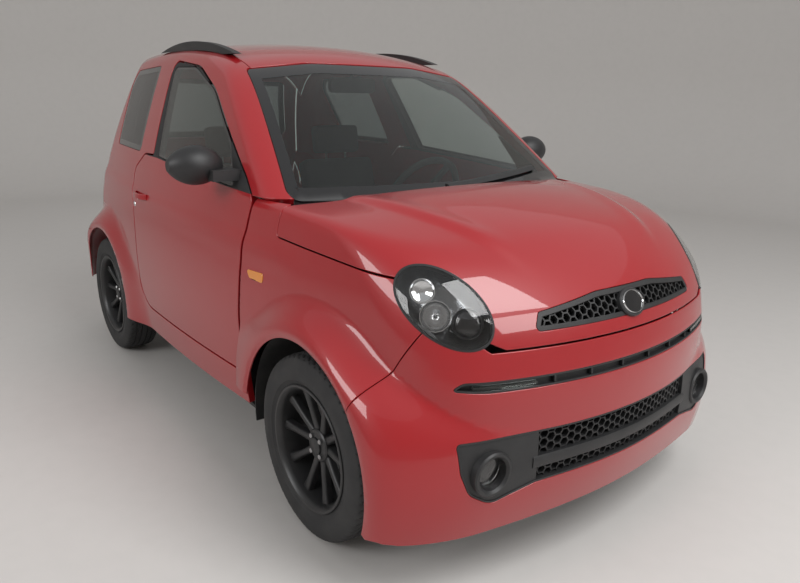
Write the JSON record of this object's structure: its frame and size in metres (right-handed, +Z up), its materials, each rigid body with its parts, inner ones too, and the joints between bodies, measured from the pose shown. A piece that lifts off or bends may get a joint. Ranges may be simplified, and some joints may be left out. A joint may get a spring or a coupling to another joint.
{
  "type": "microcar",
  "caption": "Small two-seat city car with short bonnet, upright cabin, large doors, tailgate, roof rails, egg-shaped lamps and mirrors and ten-spoke wheels.",
  "frame": {"origin": "on the ground, halfway along the car and on its centre line", "axes": "+X forward, +Y to the car's left, +Z up"},
  "size_m": [2.9603, 1.722, 1.4623],
  "materials": {
    "body_paint": "gloss red paint",
    "underbody": "satin black underbody coating",
    "black_plastic": "grained black plastic",
    "interior_plastic": "soft black plastic",
    "clear_glass": "lightly tinted glass",
    "tinted_glass": "dark tinted glass",
    "lamp_lens": "clear lens over reflectors",
    "tail_lamp_red": "red lens",
    "seat_cloth": "dark woven cloth",
    "cast_iron": "cast",
    "aluminium": "bare finned",
    "dark_steel": "black painted steel",
    "exhaust_steel": "dull steel",
    "tyre_rubber": "moulded rubber",
    "black_alloy": "matte black coated alloy"
  },
  "bodies": {
    "root": {"floor_pan": "underbody", "front_bumper": "body_paint", "rear_bumper": "body_paint", "roof_panel": "body_paint", "roof_rails": "black_plastic", "windscreen": "clear_glass", "quarter_windows": "tinted_glass", "wiper": "black_plastic", "bumper_grilles": "black_plastic", "headlights": "lamp_lens", "front_lamps": "lamp_lens", "tail_lamps": "tail_lamp_red", "wing_right": "body_paint", "wing_left": "body_paint", "side_frame_right": "body_paint", "side_frame_left": "body_paint", "dashboard": "interior_plastic", "seats": "seat_cloth", "rear_view_mirror": "interior_plastic", "engine_block": "cast_iron", "radiator": "aluminium", "front_suspension": "dark_steel", "rear_axle": "dark_steel", "exhaust": "exhaust_steel"},
    "bonnet": {"bonnet": "body_paint", "upper_grille": "black_plastic"},
    "tailgate": {"tailgate": "body_paint", "rear_window": "tinted_glass"},
    "door_right": {"door_right": "body_paint", "door_glass_right": "clear_glass", "mirror_right": "black_plastic"},
    "door_left": {"door_left": "body_paint", "door_glass_left": "clear_glass", "mirror_left": "black_plastic"},
    "steering": {"steering_wheel": "interior_plastic"},
    "knuckle_right": {"knuckle_right": "dark_steel"},
    "knuckle_left": {"knuckle_left": "dark_steel"},
    "wheel_front_left": {"tyre_front_left": "tyre_rubber", "rim_front_left": "black_alloy"},
    "wheel_front_right": {"tyre_front_right": "tyre_rubber", "rim_front_right": "black_alloy"},
    "wheel_rear_left": {"tyre_rear_left": "tyre_rubber", "rim_rear_left": "black_alloy"},
    "wheel_rear_right": {"tyre_rear_right": "tyre_rubber", "rim_rear_right": "black_alloy"}
  },
  "joints": [
    {"name": "steer_right", "type": "hinge", "parent": "root", "child": "knuckle_right", "pos_m": [0.9, -0.575, 0.17], "axis": [0, 0.1282, 0.9917], "range_deg": [-28, 28]},
    {"name": "steer_left", "type": "hinge", "parent": "root", "child": "knuckle_left", "pos_m": [0.9, 0.575, 0.17], "axis": [0, -0.1282, 0.9917], "range_deg": [-28, 28]},
    {"name": "steering_turn", "type": "hinge", "parent": "root", "child": "steering", "pos_m": [0.205, 0.27, 0.85], "axis": [-0.9062, 0, 0.4229], "range_deg": [-425, 425]},
    {"name": "front_right_roll", "type": "hinge", "parent": "knuckle_right", "child": "wheel_front_right", "pos_m": [0.9, -0.6425, 0.2785], "axis": [0, 1, 0], "continuous": true},
    {"name": "front_left_roll", "type": "hinge", "parent": "knuckle_left", "child": "wheel_front_left", "pos_m": [0.9, 0.6425, 0.2785], "axis": [0, 1, 0], "continuous": true},
    {"name": "rear_right_roll", "type": "hinge", "parent": "root", "child": "wheel_rear_right", "pos_m": [-1, -0.6425, 0.2785], "axis": [0, 1, 0], "continuous": true},
    {"name": "rear_left_roll", "type": "hinge", "parent": "root", "child": "wheel_rear_left", "pos_m": [-1, 0.6425, 0.2785], "axis": [0, 1, 0], "continuous": true},
    {"name": "door_right_hinge", "type": "hinge", "parent": "root", "child": "door_right", "pos_m": [0.4, -0.7, 0.65], "axis": [0, 0, 1], "range_deg": [0, 54]},
    {"name": "door_left_hinge", "type": "hinge", "parent": "root", "child": "door_left", "pos_m": [0.4, 0.7, 0.65], "axis": [0, 0, -1], "range_deg": [0, 54]},
    {"name": "bonnet_hinge", "type": "hinge", "parent": "root", "child": "bonnet", "pos_m": [0.716, 0, 0.93], "axis": [0, -1, 0], "range_deg": [0, 45]},
    {"name": "tailgate_hinge", "type": "hinge", "parent": "root", "child": "tailgate", "pos_m": [-1.157, 0, 1.416], "axis": [0, 1, 0], "range_deg": [0, 75]}
  ],
  "couplings": [
    {"joint": "steer_left", "follows": "steer_right", "ratio": 1},
    {"joint": "steering_turn", "follows": "steer_right", "ratio": 15}
  ]
}
